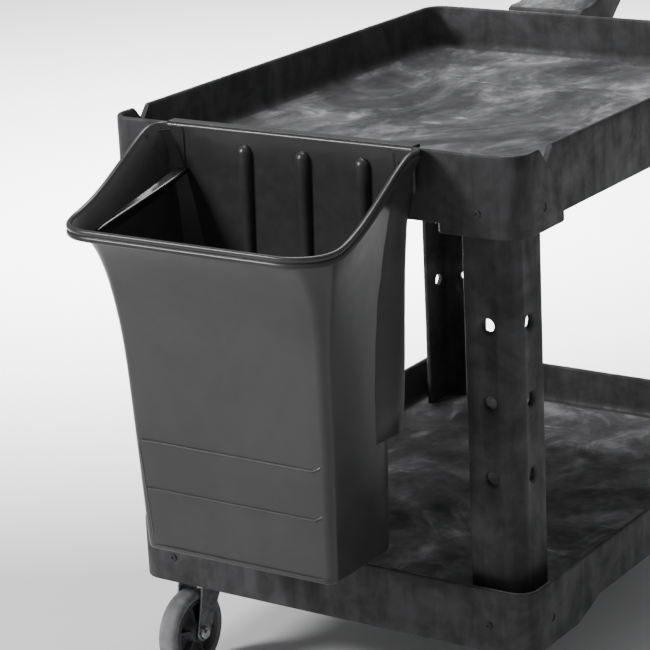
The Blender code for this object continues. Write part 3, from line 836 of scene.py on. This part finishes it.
def make_handle():
    low, high = corner_box("handle_base")
    plan = rounded(rectangle(low.x, high.x, low.y, high.y), [0, 0, 0.010, 0.010], 6)
    piece("handle_mount", prism(plan, low.z, high.z), "cart_plastic", "cart", ["handle_base"], bevel=0.003)
    grip_low, grip_high = corner_box("handle_grip")
    grip_y = (grip_low.y + grip_high.y) / 2
    grip_z = (grip_low.z + grip_high.z) / 2
    for name in ("left", "right"):
        node = "handle_arm_" + name
        low, high = corner_box(node)
        root = low.y
        block_top = 0.846
        view = [(root, low.z), (root + 0.085, low.z + 0.008), (high.y, 0.915), (high.y, high.z),
                (grip_y - 0.028, high.z), (root + 0.060, block_top), (root, block_top)]
        outline = rounded(view, [0.004, 0.090, 0.030, 0.018, 0.045, 0.080, 0.012], 10)
        wall = 0.007
        skin = block_top - wall
        hollow = [(root + wall, low.z - 0.04), (root + 0.10, low.z - 0.02), (grip_y + 0.010, 0.885),
                  (grip_y - 0.026, grip_z - 0.020), (grip_y - 0.038, grip_z), (root + 0.062, skin),
                  (root + wall, skin)]
        middle = ((low.x + high.x) / 2, grip_y, grip_z)
        arm = cut(prism_x(outline, low.x, high.x), prism_x(hollow, low.x + wall, high.x - wall),
                  rod(middle, "X", 0.0166, (high.x - low.x) * 1.2))
        piece("handle_arm_" + name + "_shell", arm, "cart_plastic", "cart", [node], bevel=0.0028, segments=3)
    half = grip_high.x
    radius = (grip_high.z - grip_low.z) / 2
    profile = [(radius - 0.001, -half)]
    grooves = 46
    for k in range(grooves):
        start = -half + 0.004 + (2 * half - 0.008) * k / grooves
        width = (2 * half - 0.008) / grooves
        profile += [(radius, start), (radius, start + width * 0.62), (radius - 0.0007, start + width * 0.74),
                    (radius - 0.0007, start + width * 0.88)]
    profile.append((radius - 0.001, half))
    grip = solid_lathe(profile, (0, grip_y, grip_z), "X", 32)
    piece("push_bar", grip, "grip_rubber", "cart", ["handle_grip"])
    for name, side in (("left", -1), ("right", 1)):
        low, high = corner_box("grip_cap_" + name)
        size = (high.z - low.z) / 2
        length = high.x - low.x
        section = [(size - 0.002, -length / 2), (size, -length / 2 + 0.002), (size, length / 2 - 0.004),
                   (size - 0.0015, length / 2 - 0.0015), (size - 0.005, length / 2)]
        turned_section = [(r, offset * side) for r, offset in section]
        turned = solid_lathe(turned_section, ((low.x + high.x) / 2, grip_y, grip_z))
        piece("push_bar_cap_" + name, turned, "grip_rubber", "cart", ["grip_cap_" + name])


# ---------------------------------------------------------------- casters

SPOKES = 6
FIRST_SPOKE = 0.26          # radians from straight up
LEG_INNER = 0.0196          # from the wheel's middle plane to a fork leg
FORK_SHEET = 0.003
FOOT_HALF = 0.014
NUT_RADIUS = 0.0100
BOLT_INSET = 0.0095         # from a caster plate's edges to its bolts


def make_wheel(caster, body):
    low, high = corner_box(caster + "_tread")
    centre = (low + high) / 2
    radius = (high.z - low.z) / 2
    half = (high.x - low.x) / 2
    inner = 0.0490
    side_face = [(radius - 0.0016, 0.0118), (radius - 0.0046, 0.0148), (radius - 0.0080, half),
                 (inner + 0.004, half - 0.0004), (inner + 0.0006, half - 0.002)]
    crown = [(radius, 0.0), (radius - 0.0001, 0.0050), (radius - 0.0006, 0.0090)]
    right = crown + side_face
    profile = [(r, -x) for r, x in reversed(right)] + right[1:] + [(inner, half - 0.004), (inner, -half + 0.004)]
    tread = lathe(profile, centre, steps=72)
    piece(caster + "_tyre", tread, "tread_rubber", body, [caster + "_tread"])
    low, high = corner_box(caster + "_hub")
    width = (high.x - low.x) / 2
    rim = 0.0487
    bore = 0.0098
    side_face = [(rim, 0.0145), (rim - 0.0030, 0.0150), (rim - 0.0055, 0.0130), (rim - 0.0085, 0.0050),
                 (0.0215, 0.0042), (0.0180, 0.0080), (0.0165, width - 0.001), (0.0155, width),
                 (bore + 0.0010, width), (bore, width - 0.001)]
    profile = side_face + [(r, -x) for r, x in reversed(side_face)]
    hub = lathe(profile, centre, steps=64)
    spokes = []
    for k in range(SPOKES):
        turn = Matrix.Rotation(2 * math.pi * k / SPOKES + FIRST_SPOKE, 4, "X")
        for side in (-1, 1):
            middle_x = side * 0.0085
            rib = box((middle_x - 0.0050, -0.0016, 0.0160), (middle_x + 0.0050, 0.0016, rim - 0.0040))
            bmesh.ops.transform(rib, matrix=Matrix.Translation(centre) @ turn, verts=rib.verts)
            spokes.append(rib)
    piece(caster + "_wheel_centre", joined(hub, *spokes), "hub_plastic", body, [caster + "_hub"])


def fork_leg(side, centre, middle_y, top_z):
    """One flat pressed leg that narrows from the crown down to a rounded foot at the axle."""
    foot = centre.y
    low = centre.z - FOOT_HALF
    corners = [(foot - FOOT_HALF, low), (foot + FOOT_HALF, low),
               (middle_y + 2 * FOOT_HALF, top_z), (middle_y - 2 * FOOT_HALF, top_z)]
    outline = rounded(corners, [0.0125, 0.0125, 0, 0], 8)
    x0, x1 = sorted((centre.x + side * LEG_INNER, centre.x + side * (LEG_INNER + FORK_SHEET)))
    return prism_x(outline, x0, x1)


def make_fork(caster, body, top_z, crown):
    low, high = corner_box(caster + "_tread")
    centre = (low + high) / 2
    y0, y1, half_x, corner_radius = crown
    middle_y = (y0 + y1) / 2
    plan = rounded(rectangle(centre.x - half_x, centre.x + half_x, y0, y1), [corner_radius] * 4, 8)
    parts = [prism(plan, top_z - 0.0032, top_z)]
    for side in (-1, 1):
        parts.append(fork_leg(side, centre, middle_y, top_z - 0.0016))
        gusset = [(middle_y - 0.026, top_z - 0.0016), (middle_y + 0.026, top_z - 0.0016),
                  (middle_y + 0.024, top_z - 0.010), (middle_y - 0.024, top_z - 0.010)]
        x0, x1 = sorted((centre.x + side * 0.0186, centre.x + side * 0.0240))
        parts.append(prism_x(gusset, x0, x1))
    piece(caster + "_yoke", joined(*parts), "fork_steel", body, [caster + "_fork"], bevel=0.0009)


def hexagon(centre, radius, length, chamfer, outward):
    """A hexagonal bolt head or nut along X, with its outer corners turned off."""
    half = length / 2 * outward
    rings = []
    for x, size, round_share in ((-half, 1.0, 0.0), (half - chamfer * outward, 1.0, 0.0), (half, 0.88, 1.0)):
        ring = []
        for k in range(24):
            angle = 2 * math.pi * k / 24
            within = (angle % (math.pi / 3)) - math.pi / 6
            flat = math.cos(math.pi / 6) / math.cos(within)
            reach = radius * size * (flat * (1 - round_share) + round_share * math.cos(math.pi / 6) / 0.9)
            across = reach * math.cos(angle)
            up = reach * math.sin(angle)
            ring.append((centre[0] + x, centre[1] + across, centre[2] + up))
        rings.append(ring)
    return loft(rings)


def make_bolt(caster, body):
    low, high = corner_box(caster + "_axle")
    nut_low, nut_high = corner_box(caster + "_nut")
    centre = (low + high) / 2
    outward = 1 if centre.x > nut_low.x else -1
    head_x = high.x if outward > 0 else low.x
    tail_x = low.x if outward > 0 else high.x
    head = hexagon((head_x - outward * 0.003, centre.y, centre.z), NUT_RADIUS, 0.006, 0.0012, outward)
    washer = rod((head_x - outward * 0.0063, centre.y, centre.z), "X", 0.0112, 0.0008, 40)
    length = abs(head_x - tail_x) - 0.004
    shank = rod((tail_x + outward * length / 2, centre.y, centre.z), "X", 0.0055, length, 32)
    piece(caster + "_axle_bolt", joined(head, washer, shank), "bolt_steel", body, [caster + "_axle"])
    nut_middle = ((nut_low.x + nut_high.x) / 2, centre.y, centre.z)
    nut = hexagon(nut_middle, NUT_RADIUS, nut_high.x - nut_low.x, 0.0012, -outward)
    piece(caster + "_lock_nut", nut, "bolt_steel", body, [caster + "_nut"])


def plate_bolts(caster, plate_box):
    """Four round bolt heads under the corners of a caster plate."""
    low, high = plate_box
    parts = []
    for x in (low.x + BOLT_INSET, high.x - BOLT_INSET):
        for y in (low.y + BOLT_INSET, high.y - BOLT_INSET):
            parts.append(screw_head((x, y, high.z - 0.0032), "Z", -1, 0.0065))
    piece(caster + "_plate_bolts", joined(*parts), "bolt_steel", "cart")


def make_casters():
    for caster in CORNERS:
        rigid = caster.startswith("far")
        make_wheel(caster, caster + "_wheel")
        low, high = corner_box(caster + "_fork")
        body = "cart" if rigid else caster + "_swivel"
        if rigid:
            crown = (low.y, high.y, (high.x - low.x) / 2, 0.006)
            plate_box = (low, high)
        else:
            plate_box = corner_box(caster + "_plate")
            middle = (plate_box[0].y + plate_box[1].y) / 2
            crown = (middle - 0.030, middle + 0.030, (high.x - low.x) / 2, 0.026)
        make_fork(caster, body, high.z, crown)
        make_bolt(caster, body)
        plate_bolts(caster, plate_box)
        if not rigid:
            make_swivel_parts(caster)


def make_swivel_parts(caster):
    low, high = corner_box(caster + "_plate")
    plan = rounded(rectangle(low.x, high.x, low.y, high.y), [0.006] * 4, 6)
    plate = prism(plan, low.z, high.z)
    piece(caster + "_top_plate", plate, "fork_steel", "cart", [caster + "_plate"], bevel=0.0007)
    low, high = corner_box(caster + "_raceway")
    centre = (low + high) / 2
    radius = (high.x - low.x) / 2
    half = (high.z - low.z) / 2
    pin_hole = 0.008
    section = [(pin_hole, -half), (radius - 0.003, -half), (radius - 0.0008, -half * 0.62),
               (radius, -half * 0.2), (radius - 0.0018, 0.0), (radius, half * 0.2),
               (radius - 0.0008, half * 0.62), (radius - 0.003, half), (pin_hole, half)]
    piece(caster + "_ball_race", lathe(section, centre, "Z", 56), "fork_steel", "cart", [caster + "_raceway"])


# ---------------------------------------------------------------- carried-over CAD nodes

def finish_cad_nodes():
    """The CAD nodes that stay visible take the same finishes."""
    for sub in frame["record"]["subparts"]:
        node = frame["nodes"][sub["node"]]
        node.data.materials.clear()
        node.data.materials.append(SLOTS[sub["material_slot"]])


# ---------------------------------------------------------------- studio

def stage_material(name, colour, roughness):
    material, tree, shader = new_material(name)
    place = position(tree)
    tone = spread(tree, noise(tree, place, 1.3, 3.0, 0.5), 0.3, 0.7)
    shade = tuple(channel * 0.985 for channel in colour)
    tree.links.new(blend_colours(tree, tone, shade, colour), shader.inputs["Base Color"])
    shader.inputs["Roughness"].default_value = roughness
    return material


def make_stage():
    mesh = bpy.data.meshes.new("floor")
    bm = bmesh.new()
    bmesh.ops.create_grid(bm, x_segments=2, y_segments=2, size=30)
    bm.to_mesh(mesh)
    bm.free()
    mesh.materials.append(stage_material("floor_paint", (0.86, 0.86, 0.86), 0.80))
    floor = bpy.data.objects.new("floor", mesh)
    bpy.context.scene.collection.objects.link(floor)


def area_light(name, place, target, size, power, colour=(1, 1, 1)):
    data = bpy.data.lights.new(name, "AREA")
    data.shape = "DISK"
    data.size = size
    data.energy = power
    data.color = colour
    light = bpy.data.objects.new(name, data)
    light.location = place
    light.rotation_euler = (Vector(target) - Vector(place)).to_track_quat("-Z", "Y").to_euler()
    bpy.context.scene.collection.objects.link(light)


def make_lights():
    world = bpy.data.worlds.new("studio")
    world.use_nodes = True
    back = world.node_tree.nodes["Background"]
    back.inputs["Color"].default_value = (0.97, 0.98, 1.0, 1)
    back.inputs["Strength"].default_value = 0.30
    bpy.context.scene.world = world
    area_light("overhead", (-0.6, 0.5, 3.4), (0, 0.1, 0.5), 1.6, 84)
    area_light("key", (-3.2, -4.2, 3.6), (0, -0.4, 0.5), 1.6, 330)
    area_light("back_wash", (-1.4, 1.4, 2.6), (-3.5, 4.6, 0.0), 2.4, 860)


CAMERA_PLACE = (1.890, NEAR - 2.778, 1.630)
CAMERA_YAW = math.radians(33.93)
CAMERA_PITCH = math.radians(17.35)
CAMERA_ROLL = math.radians(-2.74)
CAMERA_LENS = 143.2


def make_camera():
    data = bpy.data.cameras.new("camera")
    data.lens = CAMERA_LENS
    data.sensor_width = 36
    data.clip_start = 0.05
    camera = bpy.data.objects.new("camera", data)
    aim = Matrix.Rotation(CAMERA_YAW, 4, "Z") @ Matrix.Rotation(math.pi / 2 - CAMERA_PITCH, 4, "X")
    camera.matrix_world = Matrix.Translation(CAMERA_PLACE) @ aim @ Matrix.Rotation(CAMERA_ROLL, 4, "Z")
    bpy.context.scene.collection.objects.link(camera)
    bpy.context.scene.camera = camera


make_camera()
finish_cad_nodes()
make_shelves()
for corner, (side, inward) in CORNERS.items():
    make_post("post_" + corner, side, inward)
make_bin()
make_handle()
make_casters()
make_stage()
make_lights()
